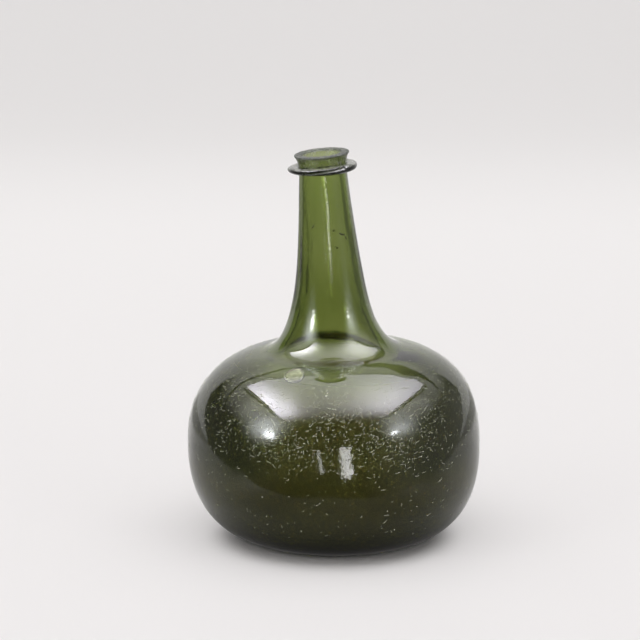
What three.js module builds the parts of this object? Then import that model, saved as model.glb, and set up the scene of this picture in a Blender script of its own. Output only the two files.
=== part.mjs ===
// A free-blown wine bottle of dark green glass: a squat onion body on a pushed-up foot, a long
// leaning neck with a flared lip, a trail of glass wound round the neck below the lip, and the
// scar that the pontil rod left under the foot. It is empty and open, and nothing on it moves.
// Millimetres, +Z up. The origin is under the middle of the belly, on the surface it stands on.
import * as THREE from 'three';
import { mergeVertices } from 'three/addons/utils/BufferGeometryUtils.js';

const { degToRad, lerp } = THREE.MathUtils;

// Belly, heel and shoulder
const BELLY_RADIUS = 70;
const BELLY_LEVEL = 43;
const BELLY_WALL = 4.2;
const HEEL_CORE = 34.4;
const HEEL_DROP = 44.5;
const HEEL_FULLNESS = 2.33;
const SHOULDER_RISE = 46.7;
const SHOULDER_FULLNESS = 2.37;
const SHOULDER_CORE = 21.3;
const SHOULDER_SWEEP = degToRad(78.2);
const SHOULDER_WALL = 4;

// Foot: the flat ring that it stands on, and the kick pushed up inside that ring
const STAND_WIDTH = 6.6;
const STAND_WALL = 7;
const KICK_HEIGHT = 17;
const KICK_WALL = 7;
const KICK_CROWN = 24;
const KICK_FLARE = 10;

// Neck
const LIP_LEVEL = 182.8;
const NECK_RADIUS = 11.2;
const NECK_TAPER = degToRad(4.1);
const NECK_SWEEP = 57;
const NECK_FOOT_SWEEP = 15.5;
const NECK_FOOT_WALL = 5.2;
const NECK_MIDDLE_WALL = 4.1;
const BORE_RADIUS = 8.5;

// Lip: the flared end of the neck, broken from the blowpipe and left with a flat rough top
const LIP_RISE = 7.1;
const LIP_RADIUS = 13.2;
const LIP_EDGE = 0.6;
const MOUTH_RADIUS = 8.8;

// String rim: the trail's two ends lie over each other in a long slanting lap
const RIM_RADIUS = 16.6;
const RIM_THICKNESS = 2.6;
const RIM_SWELL = 1.1;
const RIM_SWELL_BEARING = degToRad(60);
const RIM_LAP_BEARING = degToRad(-38);
const RIM_LAP = degToRad(82);
const RIM_LAP_GAP = 0.45;
const RIM_TIP = 0.6;
const RIM_TIP_DRAW = 1.6;
const RIM_LAP_RISE = 0.55;
const RIM_SQUARENESS = 0.7;

// Pontil scar: a broken ring of glass on the underside of the kick
const SCAR_INNER_RADIUS = 8.2;
const SCAR_OUTER_RADIUS = 13;
const SCAR_THICKNESS = 1.4;
const SCAR_RAGGEDNESS = 0.35;

// Space between the wound or broken glass and the surface that it sits on
const SEAT_GAP = 0.3;

// Steps round each form and along its outline
const BODY_SIDES = 56;
const KICK_STEPS = 6;
const HEEL_STEPS = 9;
const SHOULDER_STEPS = 10;
const NECK_STEPS = 13;
const LIP_STEPS = 3;
const FLOOR_STEPS = 5;
const RIM_LAP_STEPS = 7;
const RIM_LOOP_STEPS = 33;
const RIM_SIDES = 12;
const SCAR_SIDES = 40;
const SCAR_STEPS = 4;

// Levels that the sizes above set
const rimLevel = LIP_LEVEL - LIP_RISE;
const shoulderCrest = BELLY_LEVEL + SHOULDER_RISE;
const neckLength = rimLevel - shoulderCrest;
const neckLevel = (share) => shoulderCrest + share * neckLength;
const shoulderLevel = (share) => BELLY_LEVEL + share * SHOULDER_RISE;

// The blown form wanders. Each row gives, for one level, how far the form's centre lies to +X,
// how many degrees its +X side rises, and how many degrees its front side drops.
const CENTRE_LINE = [
  { level: 0, shift: 0.8, tilt: 0, dip: 0 },
  { level: BELLY_LEVEL, shift: 0, tilt: 0, dip: 0 },
  { level: shoulderLevel(0.4), shift: 0.1, tilt: 0.5, dip: 0 },
  { level: shoulderLevel(0.8), shift: 0.7, tilt: 0.6, dip: 0 },
  { level: neckLevel(0.1), shift: -1, tilt: 2.4, dip: 0 },
  { level: neckLevel(0.4), shift: -2, tilt: 2.8, dip: 0 },
  { level: rimLevel, shift: -5.3, tilt: 4.3, dip: 0.5 },
  { level: LIP_LEVEL, shift: -5.9, tilt: 5.5, dip: 1.5 },
];

// Wall thickness up the bottle: thin at the shoulder, thick where the neck gathers
const WALLS = [
  { level: BELLY_LEVEL, wall: BELLY_WALL },
  { level: shoulderLevel(0.8), wall: SHOULDER_WALL },
  { level: neckLevel(0.25), wall: NECK_FOOT_WALL },
  { level: neckLevel(0.6), wall: NECK_MIDDLE_WALL },
  { level: rimLevel, wall: NECK_RADIUS - BORE_RADIUS },
];

// The value of one column of rows at a level, on a smooth curve through the rows.
function follow(rows, key, level) {
  const last = rows.length - 1;
  const slope = (index) => {
    const below = rows[Math.max(index - 1, 0)];
    const above = rows[Math.min(index + 1, last)];
    return (above[key] - below[key]) / (above.level - below.level);
  };
  let index = 0;
  while (index < last - 1 && level > rows[index + 1].level) {
    index += 1;
  }
  const low = rows[index];
  const high = rows[index + 1];
  const span = high.level - low.level;
  const t = THREE.MathUtils.clamp((level - low.level) / span, 0, 1);
  const ease = t * t * (3 - 2 * t);
  const leave = span * slope(index) * t * (1 - t) * (1 - t);
  const arrive = span * slope(index + 1) * t * t * (t - 1);
  return lerp(low[key], high[key], ease) + leave + arrive;
}

// Moves a form drawn about the Z axis onto the bottle's wandering centre line.
function setOnCentreLine(geometry) {
  const position = geometry.attributes.position;
  for (let i = 0; i < position.count; i += 1) {
    const x = position.getX(i);
    const y = position.getY(i);
    const z = position.getZ(i);
    const tilt = degToRad(follow(CENTRE_LINE, 'tilt', z));
    const dip = degToRad(follow(CENTRE_LINE, 'dip', z));
    const shift = follow(CENTRE_LINE, 'shift', z);
    const rise = x * Math.sin(tilt) + y * Math.sin(dip);
    position.setXYZ(i, shift + x * Math.cos(tilt), y * Math.cos(dip), z + rise);
  }
  return geometry;
}

// Keeps positions alone, joins the points that coincide and drops the faces that closed up.
function closeSeams(geometry) {
  geometry.deleteAttribute('normal');
  geometry.deleteAttribute('uv');
  const joined = mergeVertices(geometry);
  const index = joined.index.array;
  const kept = [];
  for (let i = 0; i < index.length; i += 3) {
    const [a, b, c] = [index[i], index[i + 1], index[i + 2]];
    if (a !== b && b !== c && c !== a) {
      kept.push(a, b, c);
    }
  }
  joined.setIndex(kept);
  return joined;
}

// Turns an outline of radius and level about the Z axis.
function revolve(outline, sides) {
  return closeSeams(new THREE.LatheGeometry(outline, sides).rotateX(Math.PI / 2));
}

// A point of a rounded quarter, from its widest ring at angle 0 towards its crest at a right angle.
function quarter(core, radius, rise, fullness, angle) {
  return new THREE.Vector2(
    core + (radius - core) * Math.cos(angle) ** (2 / fullness),
    BELLY_LEVEL + rise * Math.sin(angle) ** (2 / fullness),
  );
}

function steps(count, from, to) {
  return Array.from({ length: count + 1 }, (_, i) => lerp(from, to, i / count));
}

const heelPoint = (angle) => quarter(HEEL_CORE, BELLY_RADIUS, -HEEL_DROP, HEEL_FULLNESS, angle);
const heelSweep = Math.asin((BELLY_LEVEL / HEEL_DROP) ** (HEEL_FULLNESS / 2));
const standRadius = heelPoint(heelSweep).x;
const troughRadius = standRadius - STAND_WIDTH / 2;

const shoulderPoint = (angle) => {
  return quarter(SHOULDER_CORE, BELLY_RADIUS, SHOULDER_RISE, SHOULDER_FULLNESS, angle);
};

// The kick's underside, from its crown on the axis down to the standing ring
const kickCurve = new THREE.CubicBezierCurve(
  new THREE.Vector2(0, KICK_HEIGHT),
  new THREE.Vector2(KICK_CROWN, KICK_HEIGHT),
  new THREE.Vector2(standRadius - STAND_WIDTH - KICK_FLARE, 0),
  new THREE.Vector2(standRadius - STAND_WIDTH, 0),
);

// The floor inside the bottle, from the trough round the kick up to the axis
const floorCurve = new THREE.CubicBezierCurve(
  new THREE.Vector2(troughRadius, STAND_WALL),
  new THREE.Vector2(troughRadius - KICK_FLARE, STAND_WALL),
  new THREE.Vector2(KICK_CROWN, KICK_HEIGHT + KICK_WALL),
  new THREE.Vector2(0, KICK_HEIGHT + KICK_WALL),
);

// The outside of the neck, swept in from the shoulder and up to the string rim
function neckCurve() {
  const foot = shoulderPoint(SHOULDER_SWEEP);
  const before = shoulderPoint(SHOULDER_SWEEP - degToRad(0.1));
  const heading = foot.clone().sub(before).normalize();
  const top = new THREE.Vector2(NECK_RADIUS, rimLevel);
  const taper = new THREE.Vector2(Math.sin(NECK_TAPER), -Math.cos(NECK_TAPER));
  return new THREE.CubicBezierCurve(
    foot,
    heading.multiplyScalar(NECK_FOOT_SWEEP).add(foot),
    taper.multiplyScalar(NECK_SWEEP).add(top),
    top,
  );
}

// The outside from the belly's widest ring up to the string rim
function upperOutside() {
  const shoulder = steps(SHOULDER_STEPS, 0, SHOULDER_SWEEP).map(shoulderPoint);
  const neck = neckCurve().getPoints(NECK_STEPS).slice(1);
  return [...shoulder, ...neck];
}

// The inside of the same stretch: each point moved in by the wall, square to the outside.
function upperInside(outside) {
  return outside.map((point, i) => {
    const before = outside[Math.max(i - 1, 0)];
    const after = outside[Math.min(i + 1, outside.length - 1)];
    const along = i === 0 ? new THREE.Vector2(0, 1) : after.clone().sub(before).normalize();
    const wall = follow(WALLS, 'wall', point.y);
    return new THREE.Vector2(point.x - along.y * wall, point.y + along.x * wall);
  });
}

// The flared lip, from the string rim's upper side over the flat top and into the mouth
function lipOutline() {
  const foot = new THREE.Vector2(NECK_RADIUS, rimLevel + (RIM_THICKNESS + RIM_SWELL) / 2);
  const edge = new THREE.Vector2(LIP_RADIUS, LIP_LEVEL - LIP_EDGE);
  const bend = new THREE.Vector2(lerp(NECK_RADIUS, LIP_RADIUS, 0.3), lerp(foot.y, edge.y, 0.5));
  return [
    ...new THREE.QuadraticBezierCurve(foot, bend, edge).getPoints(LIP_STEPS),
    new THREE.Vector2(LIP_RADIUS - LIP_EDGE, LIP_LEVEL),
    new THREE.Vector2(MOUTH_RADIUS + LIP_EDGE, LIP_LEVEL),
    new THREE.Vector2(MOUTH_RADIUS, LIP_LEVEL - LIP_EDGE),
  ];
}

// The inside of the heel, from the belly's widest ring down to the trough
function heelInside() {
  const radius = BELLY_RADIUS - BELLY_WALL;
  return steps(HEEL_STEPS, 0, Math.PI / 2)
    .slice(1)
    .map((angle) => quarter(troughRadius, radius, STAND_WALL - BELLY_LEVEL, 2, angle));
}

// The blown vessel, wall and all: one outline from under the kick, up the outside and down the inside
function bottleBody() {
  const outside = upperOutside();
  const outline = [
    ...kickCurve.getPoints(KICK_STEPS),
    ...steps(HEEL_STEPS, heelSweep, 0).map(heelPoint),
    ...outside.slice(1),
    ...lipOutline(),
    ...upperInside(outside).reverse(),
    ...heelInside(),
    ...floorCurve.getPoints(FLOOR_STEPS).slice(1),
  ];
  outline[0].x = 0;
  outline[outline.length - 1].x = 0;
  return revolve(outline, BODY_SIDES);
}

// A closed body through rings of points that each go round the same way, with flat ends.
function loft(rings) {
  const sides = rings[0].length;
  const faces = [];
  for (let ring = 0; ring < rings.length - 1; ring += 1) {
    for (let side = 0; side < sides; side += 1) {
      const a = ring * sides + side;
      const b = ring * sides + ((side + 1) % sides);
      faces.push(a, a + sides, b, b, a + sides, b + sides);
    }
  }
  const end = (rings.length - 1) * sides;
  for (let side = 1; side < sides - 1; side += 1) {
    faces.push(0, side, side + 1, end, end + side + 1, end + side);
  }
  const geometry = new THREE.BufferGeometry().setFromPoints(rings.flat());
  geometry.setIndex(faces);
  return geometry;
}

// The string rim's upper and lower level at a bearing from the front
function rimBand(bearing) {
  const swell = (RIM_SWELL * (1 + Math.cos(bearing - RIM_SWELL_BEARING))) / 2;
  const half = (RIM_THICKNESS + swell) / 2;
  return { top: rimLevel + half, bottom: rimLevel - half };
}

// One cross-section of the trail. The lap rises from the trail's lower side to its upper side, fast at
// first, so that the trail's start lies under the lap and its end lies on it.
function trailRing(turn) {
  const bearing = RIM_LAP_BEARING + turn;
  const band = rimBand(bearing);
  const inLap = (turn % (2 * Math.PI)) / RIM_LAP;
  const tip = RIM_TIP + RIM_LAP_GAP / 2;
  const slant = lerp(band.bottom + tip, band.top - tip, Math.min(inLap, 1) ** RIM_LAP_RISE);
  const starts = turn <= RIM_LAP;
  const ends = turn >= 2 * Math.PI;
  const bottom = ends ? slant + RIM_LAP_GAP / 2 : band.bottom;
  const top = starts ? slant - RIM_LAP_GAP / 2 : band.top;
  const drawn = (starts ? 1 - inLap : 0) + (ends ? inLap : 0);
  const middle = (top + bottom) / 2;
  const inner = NECK_RADIUS + (rimLevel - middle) * Math.tan(NECK_TAPER) + SEAT_GAP;
  const outer = RIM_RADIUS - RIM_TIP_DRAW * drawn;
  return steps(RIM_SIDES - 1, 0, 2 * Math.PI * (1 - 1 / RIM_SIDES)).map((angle) => {
    const across = Math.sign(Math.cos(angle)) * Math.abs(Math.cos(angle)) ** RIM_SQUARENESS;
    const up = Math.sign(Math.sin(angle)) * Math.abs(Math.sin(angle)) ** RIM_SQUARENESS;
    const radius = (outer + inner) / 2 + ((outer - inner) / 2) * across;
    const level = middle + ((top - bottom) / 2) * up;
    return new THREE.Vector3(radius * Math.sin(bearing), -radius * Math.cos(bearing), level);
  });
}

// The trail round the neck, with the least gap between its lapped ends measured and printed
function stringRim() {
  const lapTurns = steps(RIM_LAP_STEPS, 0, RIM_LAP);
  const loopTurns = steps(RIM_LOOP_STEPS, RIM_LAP, 2 * Math.PI).slice(1, -1);
  const turns = [...lapTurns, ...loopTurns, ...lapTurns.map((turn) => turn + 2 * Math.PI)];
  const rings = turns.map(trailRing);
  const start = rings.slice(0, lapTurns.length).flat();
  const end = rings.slice(-lapTurns.length).flat();
  const gaps = start.map((point) => Math.min(...end.map((other) => point.distanceTo(other))));
  console.log(`string_rim: least gap between its lapped ends ${Math.min(...gaps).toFixed(2)} mm`);
  return loft(rings);
}

// The pontil scar: a ring that follows the underside of the kick, broken unevenly on its lower side
function pontilScar() {
  const curveAt = (radius) => {
    let low = 0;
    let high = 1;
    for (let i = 0; i < 30; i += 1) {
      const middle = (low + high) / 2;
      [low, high] = kickCurve.getPoint(middle).x < radius ? [middle, high] : [low, middle];
    }
    return kickCurve.getPoint(low);
  };
  const across = steps(SCAR_STEPS, SCAR_INNER_RADIUS, SCAR_OUTER_RADIUS).map(curveAt);
  const seated = across.map((point) => new THREE.Vector2(point.x, point.y - SEAT_GAP));
  const broken = across.slice(1, -1).map((point) => {
    return new THREE.Vector2(point.x, point.y - SEAT_GAP - SCAR_THICKNESS);
  });
  const outline = [seated[0], ...broken, ...seated.slice(1).reverse(), seated[0]];
  const ring = revolve(outline, SCAR_SIDES);
  const position = ring.attributes.position;
  for (let i = 0; i < position.count; i += 1) {
    const bearing = Math.atan2(position.getX(i), -position.getY(i));
    const radius = Math.hypot(position.getX(i), position.getY(i));
    const wave = Math.sin(3 * bearing + 0.6) + Math.sin(7 * bearing + radius) + Math.sin(12 * bearing);
    const depth = curveAt(radius).y - SEAT_GAP - position.getZ(i);
    position.setZ(i, position.getZ(i) - (depth * SCAR_RAGGEDNESS * wave) / SCAR_THICKNESS);
  }
  return ring;
}

function glass(color, roughness) {
  return new THREE.MeshStandardMaterial({ color, roughness, metalness: 0 });
}

function piece(name, geometry, material) {
  const mesh = new THREE.Mesh(setOnCentreLine(geometry), material);
  mesh.name = name;
  mesh.geometry.computeVertexNormals();
  return mesh;
}

const bottle = new THREE.Group();
bottle.name = 'wine_bottle';
bottle.add(piece('bottle_body', bottleBody(), glass(0x3d4322, 0.08)));
bottle.add(piece('string_rim', stringRim(), glass(0x4a5230, 0.12)));
bottle.add(piece('pontil_scar', pontilScar(), glass(0x4d5534, 0.55)));

export default bottle;
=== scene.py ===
# A free-blown wine bottle of dark green glass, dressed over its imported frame. Metres, +Z up.
import math

import bpy
import numpy as np
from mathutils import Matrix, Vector, noise


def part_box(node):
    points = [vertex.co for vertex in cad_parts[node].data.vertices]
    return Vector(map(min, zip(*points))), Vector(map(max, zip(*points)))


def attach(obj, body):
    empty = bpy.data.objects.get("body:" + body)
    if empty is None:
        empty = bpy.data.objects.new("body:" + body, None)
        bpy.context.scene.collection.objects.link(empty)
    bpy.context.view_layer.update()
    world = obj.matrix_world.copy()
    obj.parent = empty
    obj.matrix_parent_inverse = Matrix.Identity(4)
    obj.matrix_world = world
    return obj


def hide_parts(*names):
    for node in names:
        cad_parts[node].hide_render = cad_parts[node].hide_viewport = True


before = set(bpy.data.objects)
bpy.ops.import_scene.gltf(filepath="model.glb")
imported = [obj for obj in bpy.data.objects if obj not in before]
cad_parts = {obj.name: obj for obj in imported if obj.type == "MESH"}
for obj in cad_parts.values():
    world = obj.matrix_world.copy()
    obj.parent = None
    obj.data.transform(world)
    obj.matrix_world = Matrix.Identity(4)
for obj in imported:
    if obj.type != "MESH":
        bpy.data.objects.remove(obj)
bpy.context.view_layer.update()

bl_info = {
    "name": "Blown wine bottle",
    "version": (1, 0, 0),
    "blender": (4, 5, 0),
    "location": "3D View > Sidebar > Bottle",
    "description": "Dresses a free-blown green glass wine bottle and its studio",
    "category": "Object",
}

MM = 0.001
BODY_LOW, BODY_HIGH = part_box("bottle_body")
RIM_LOW, RIM_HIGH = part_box("string_rim")

# Belly, heel and shoulder
BELLY_RADIUS = (BODY_HIGH.x - BODY_LOW.x) / 2 - 0.06 * MM
BELLY_LEVEL = 43 * MM
HEEL_CORE = 34.4 * MM
HEEL_DROP = 44.5 * MM
HEEL_FULLNESS = 2.33
SHOULDER_RISE = 46.7 * MM
SHOULDER_CORE = 21.3 * MM
SHOULDER_FULLNESS = 2.37
SHOULDER_SWEEP = math.radians(78.2)

# Foot
STAND_WIDTH = 6.6 * MM
STAND_WALL = 7 * MM
KICK_HEIGHT = 17 * MM
KICK_WALL = 7 * MM
KICK_CROWN = 24 * MM
KICK_FLARE = 10 * MM

# Neck and lip
LIP_LEVEL = 182.8 * MM
LIP_RISE = 7.1 * MM
LIP_RADIUS = 13.2 * MM
LIP_EDGE = 0.6 * MM
LIP_TOP = LIP_LEVEL - 0.16 * MM
MOUTH_RADIUS = 8.8 * MM
NECK_RADIUS = 11.2 * MM
NECK_TAPER = math.radians(4.1)
NECK_SWEEP = 57 * MM
NECK_FOOT_SWEEP = 15.5 * MM
BORE_RADIUS = 8.5 * MM

RIM_LEVEL = LIP_LEVEL - LIP_RISE
SHOULDER_CREST = BELLY_LEVEL + SHOULDER_RISE


def neck_level(share):
    return SHOULDER_CREST + share * (RIM_LEVEL - SHOULDER_CREST)


def shoulder_level(share):
    return BELLY_LEVEL + share * SHOULDER_RISE


# The blown form wanders: level, shift to +X, degrees that the +X side rises, degrees that the
# front drops
CENTRE_LINE = [
    (0, 0.8 * MM, 0, 0),
    (BELLY_LEVEL, 0, 0, 0),
    (shoulder_level(0.4), 0.1 * MM, 0.5, 0),
    (shoulder_level(0.8), 0.7 * MM, 0.6, 0),
    (neck_level(0.1), -1 * MM, 2.4, 0),
    (neck_level(0.4), -2 * MM, 2.8, 0),
    (RIM_LEVEL, -5.3 * MM, 4.3, 0.5),
    (LIP_LEVEL, -5.9 * MM, 5.5, 1.5),
]

# Blisters in the wall: bearing from the front in degrees, level, length, width, thickness, turn in
# degrees from level, and whether only the edge shows
BLISTERS = [
    (-25.0, 86.2 * MM, 9.6 * MM, 12.0 * MM, 0.8 * MM, 24, False),
    (-36.0, 70.1 * MM, 5.4 * MM, 4.8 * MM, 0.7 * MM, 0, True),
    (-62.5, 69.3 * MM, 3.6 * MM, 2.6 * MM, 1.0 * MM, 0, True),
    (-64.2, 63.9 * MM, 1.3 * MM, 1.1 * MM, 0.8 * MM, 0, True),
]

# Marks on the body: height of the rough lip, how deep in the wall a blister lies, how far the
# noise is drawn out along the neck, and the colours of the pale film and the rough lip
SHEARED_HEIGHT = 1.1 * MM
BLISTER_DEPTH = 0.45
CORD_STRETCH = 0.14
LIP_FILM_COLOUR = (0.86, 0.84, 0.80)
SHEAR_COLOURS = ((0.03, 0.035, 0.025), (0.18, 0.19, 0.15))
GLASS_IOR = 1.52

# The levels, or the distances to the side, between which each coat of the glass sets in
FILM_LEVELS = (74 * MM, 30 * MM)
MOUTH_FILM_LEVELS = (171 * MM, 178 * MM)
HAZE_LEVELS = (86 * MM, 79 * MM)
# The painted shade inside the belly's sides sets in between these levels and these distances to the side
SIDE_SHADE_LEVELS_ABOVE = (91 * MM, 74 * MM)
SIDE_SHADE_LEVELS_BELOW = (32 * MM, 48 * MM)
SIDE_SHADE_SIDES = (22 * MM, 46 * MM)
TINT_LEVELS = (122 * MM, 172 * MM)
WEAR_LEVELS_ABOVE = (86 * MM, 60 * MM)
WEAR_LEVELS_BELOW = (20 * MM, 42 * MM)
GROUND_LEVELS = (0.9 * MM, 0.0)
CORD_LEVELS = (92 * MM, 118 * MM)

# Fineness of the body's mesh and of the outlines, and the rounding of the outline's corners
BODY_RINGS = 400
BODY_SIDES = 216
FINE_STEPS = 160
CORNER_ROUNDING = 0.35 * MM

# String rim
RIM_HIGH_RADIUS = (RIM_HIGH.x - RIM_LOW.x) / 2
RIM_THICKNESS = 2.6 * MM
RIM_SWELL = 1.1 * MM
RIM_SWELL_BEARING = math.radians(60)
RIM_LAP_BEARING = math.radians(-38)
RIM_LAP = math.radians(82)
RIM_TIP = 0.5 * MM
RIM_SINK = 0.35 * MM
RIM_DRAWN_IN = 1.3 * MM
RIM_POINTS = 300

# Pontil scar
SCAR_INNER_RADIUS = 8.2 * MM
SCAR_OUTER_RADIUS = 13 * MM
SCAR_THICKNESS = 1.4 * MM
SCAR_GAP = 0.15 * MM

# Curved scuffs: radius in millimetres, sweep in degrees, corners
SCUFF_ARCS = ((0.4, 130, 5), (1.2, 45, 3), (0.7, 90, 4), (2.4, 16, 2), (5.0, 22, 3))

# Scuffs: the levels and the distances to the side between which they set in or thin out, their
# share where the bottle is least worn, and the size of the smallest specks
SCUFF_LEVELS_ABOVE = (88 * MM, 76 * MM)
SCUFF_LEVELS_BELOW = (40 * MM, 64 * MM)
SCUFF_SIDES = (28 * MM, 58 * MM)
SCUFF_LEAST = 0.05
SPECK_RADIUS = 0.19 * MM

# Smallest and largest gas seed, in millimetres
SEED_SCALES = ((0.10, 0.10, 0.08), (0.24, 0.34, 0.2))

# Dark stones and threads in the neck: bearing in degrees, level, length, width, turn in degrees
STONE_DEPTH = 0.25 * MM
STONES = [
    (-28.5, 149.8 * MM, 2.8 * MM, 0.6 * MM, 50),
    (15.0, 147.6 * MM, 1.1 * MM, 0.9 * MM, 20),
    (32.0, 145.4 * MM, 3.4 * MM, 0.75 * MM, -22),
    (40.0, 143.6 * MM, 2.2 * MM, 0.5 * MM, -60),
    (19.0, 139.5 * MM, 1.1 * MM, 0.8 * MM, 0),
    (-31.0, 141.0 * MM, 5.5 * MM, 0.2 * MM, 84),
    (6.0, 160.5 * MM, 0.9 * MM, 0.4 * MM, 60),
]

# A random value's lower and upper inputs and its output, for each kind of value
RANDOM_SOCKETS = {"FLOAT_VECTOR": (0, 1, 0), "FLOAT": (2, 3, 1), "INT": (4, 5, 2)}

# Camera
CAMERA_TARGET = Vector((-0.0065, 0, 0.10225))
CAMERA_DISTANCE = 1.3
CAMERA_ELEVATION = math.radians(12.78)
CAMERA_LENS = 154.17
CAMERA_SENSOR = 36

# Floor and backdrop; the table's edge, which mirrors show, runs back at two slopes
FLOOR_GAP = 0.2 * MM
FLOOR_REACH = 4.0
COVE_START = 1.15
COVE_RADIUS = 0.6
BACKDROP_TOP = 2.4
BACKDROP_BRIGHTNESS = 0.84
TABLE_FRONT = -0.145
TABLE_EDGE_SLOPE = 0.3
TABLE_CORNER = -0.27
TABLE_SPREAD = 1.02

# Pools of light on the table in mirrors: place to +X, width, brightness; then their place to the
# back and their depth
LAMP_POOLS = ((-0.135, 0.035, 0.55), (0.125, 0.03, 0.3))
POOL_DEPTHS = (-0.105, 0.05)

# Softbox overhead: half sizes and place of its card; across and back, the edge of its face and the
# inner and outer edge of its frame line; the middle, width and brightness of its left and right
# lobes; the brightness of its face and its frame line
SOFTBOX_CARD = 0.98
SOFTBOX_DEPTH = 0.98
SOFTBOX_MIDDLE = -0.32
SOFTBOX_HEIGHT = 1.0
SOFTBOX_ACROSS = ((0.885, 0.875), (0.905, 0.91), (0.935, 0.93))
SOFTBOX_BACK = ((0.615, 0.605), (0.63, 0.635), (0.655, 0.65))
SOFTBOX_LOBES = ((-0.82, 0.29, 18.0), (0.62, 0.42, 7.6))
SOFTBOX_BASE = 2.7
SOFTBOX_LINE = 2.2

# Mirrored lamps: name, azimuth, elevation and half angle in degrees, then the core's brightness and
# size, the halo's brightness, the core's shift across and up, its stretch, and its turn in degrees
LAMP_COLOUR = (0.93, 0.96, 1, 1)
LAMP_AIM_LEVEL = 0.06
LAMP_FACES = (
    ("left_lamp_face", -61, 28, 26, 30.0, 0.18, 5.0, 0.28, -0.30, 1.25, -50),
    ("right_lamp_face", 57, 27, 24, 24.0, 0.09, 4.4, -0.32, -0.27, 1.7, 10),
)

# Mirrored strips: name, azimuth, half width, lowest and highest elevation in degrees, then the
# brightness, the lean, and how far out the edge lies
STRIP_DISTANCE = 0.55
STRIP_FACES = (
    ("right_strip_face", 9.0, 6.0, -14.0, 12.5, 12.0, 0.22, 0.68),
    ("left_strip_face", -10.3, 3.6, -12.0, 10.0, 7.0, 0.3, 0.32),
)


def length(name, description, default, low, high):
    """A length that the panel shows, given in millimetres."""
    return bpy.props.FloatProperty(
        name=name, description=description, default=default * MM, min=low * MM, max=high * MM, unit="LENGTH")


def colour_choice(name, description, default):
    """A colour that the panel shows."""
    return bpy.props.FloatVectorProperty(
        name=name, description=description, default=default, min=0, max=1, subtype="COLOR")


class BottleForm(bpy.types.PropertyGroup):
    """Sizes of the blown vessel"""

    belly_wall: length("Belly wall", "Wall thickness at the widest ring", 4.2, 2, 9)
    shoulder_wall: length("Shoulder wall", "Wall thickness high on the shoulder", 4.0, 2, 9)
    neck_foot_wall: length("Neck foot wall", "Wall thickness where the neck gathers", 5.2, 3, 9)
    neck_wall: length("Neck wall", "Wall thickness half way up the neck", 4.1, 2, 6)
    ripple: length("Ripple", "How far the outside dips in its hand-blown waves", 0.10, 0, 1)
    wander: length("Wall wander", "How far the inside strays from an even wall", 0.45, 0, 1.5)
    lip_roughness: length("Lip roughness", "Depth of the chips in the sheared lip", 0.22, 0, 1)


class GlassFinish(bpy.types.PropertyGroup):
    """Colours of the glass and marks on it"""

    glass_tint: colour_choice("Glass tint", "What the glass lets through best", (0.5225, 0.5825, 0.20))
    glass_depth: bpy.props.FloatProperty(
        name="Glass depth", description="Absorption of the glass per metre",
        default=400, min=0, max=3000)
    # Colour of the brown film, which darkens the inside more and more towards the bottom
    film_colour: colour_choice("Film colour", "Brown film left inside the body", (0.66, 0.49, 0.42))
    # Colour of the painted shade inside both sides of the belly
    side_shade_colour: colour_choice(
        "Side shade colour", "Dark stain inside the sides of the belly", (0.30, 0.27, 0.20))
    neck_tint: colour_choice(
        "Neck tint", "Darker colour that the outside takes on towards the lip", (0.62, 0.69, 0.42))
    scuff_count: bpy.props.FloatProperty(
        name="Scuff density", description="Scuffs on each square metre of the worn band",
        default=500000, min=0, max=1200000)
    seed_count: bpy.props.FloatProperty(
        name="Seed density", description="Gas seeds under each square metre of the surface",
        default=2600, min=0, max=20000)


class StudioLight(bpy.types.PropertyGroup):
    """Floor colour and light of the studio"""

    floor_colour: colour_choice("Floor colour", "Colour of the floor and backdrop", (0.84, 0.82, 0.815))
    overhead: bpy.props.FloatProperty(
        name="Overhead light", description="Power of the large soft lamp overhead",
        default=9.3, min=0, max=200, subtype="POWER")
    ambient: bpy.props.FloatProperty(
        name="Ambient", description="Light from all round", default=0.5, min=0, max=2)


# Node trees

class Value:
    """A node's output, on which node maths is written with Python's own signs."""

    def __init__(self, socket):
        self.socket = socket

    def __add__(self, other):
        return maths("ADD", self, other)

    def __sub__(self, other):
        return maths("SUBTRACT", self, other)

    def __rsub__(self, other):
        return maths("SUBTRACT", other, self)

    def __mul__(self, other):
        return maths("MULTIPLY", self, other)

    def __truediv__(self, other):
        return maths("DIVIDE", self, other)

    def __pow__(self, other):
        return maths("POWER", self, other)

    def __abs__(self):
        return maths("ABSOLUTE", self)

    def scaled(self, factor, offset):
        """This value times a factor, plus an offset."""
        return maths("MULTIPLY_ADD", self, factor, offset)

    def clamped(self):
        """This value, kept between 0 and 1 by its own node."""
        self.socket.node.use_clamp = True
        return self


def feed(socket, value):
    """Sets a node's input, or links an output to it."""
    if isinstance(value, Value):
        value = value.socket
    if isinstance(value, bpy.types.NodeSocket):
        socket.id_data.links.new(value, socket)
    else:
        socket.default_value = value


def add(tree, kind, inputs=None, **settings):
    """A new node with its settings made and its inputs fed."""
    node = tree.nodes.new(kind)
    for name, value in settings.items():
        setattr(node, name, value)
    for key, value in (inputs or {}).items():
        feed(node.inputs[key], value)
    return node


def result(tree, kind, inputs=None, output=0, **settings):
    """One output of a new node."""
    return Value(add(tree, kind, inputs, **settings).outputs[output])


def maths(operation, *values):
    """The result of a Math node in the tree that its values come from."""
    tree = next(value.socket.id_data for value in values if isinstance(value, Value))
    return result(tree, "ShaderNodeMath", dict(enumerate(values)), operation=operation)


def highest(first, second):
    return maths("MAXIMUM", first, second)


def distance(x, y):
    """How far the point (x, y) lies from the origin."""
    return maths("SQRT", x * x + y * y)


def bell(value, middle, width):
    """A bell curve of height 1 round the middle."""
    off = (value - middle) / width
    return maths("EXPONENT", off * off * -1.0)


def blend_values(factor, low, high):
    """Low to high as the factor goes from 0 to 1."""
    return result(factor.socket.id_data, "ShaderNodeMix", {0: factor, 2: low, 3: high}, data_type="FLOAT")


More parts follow.
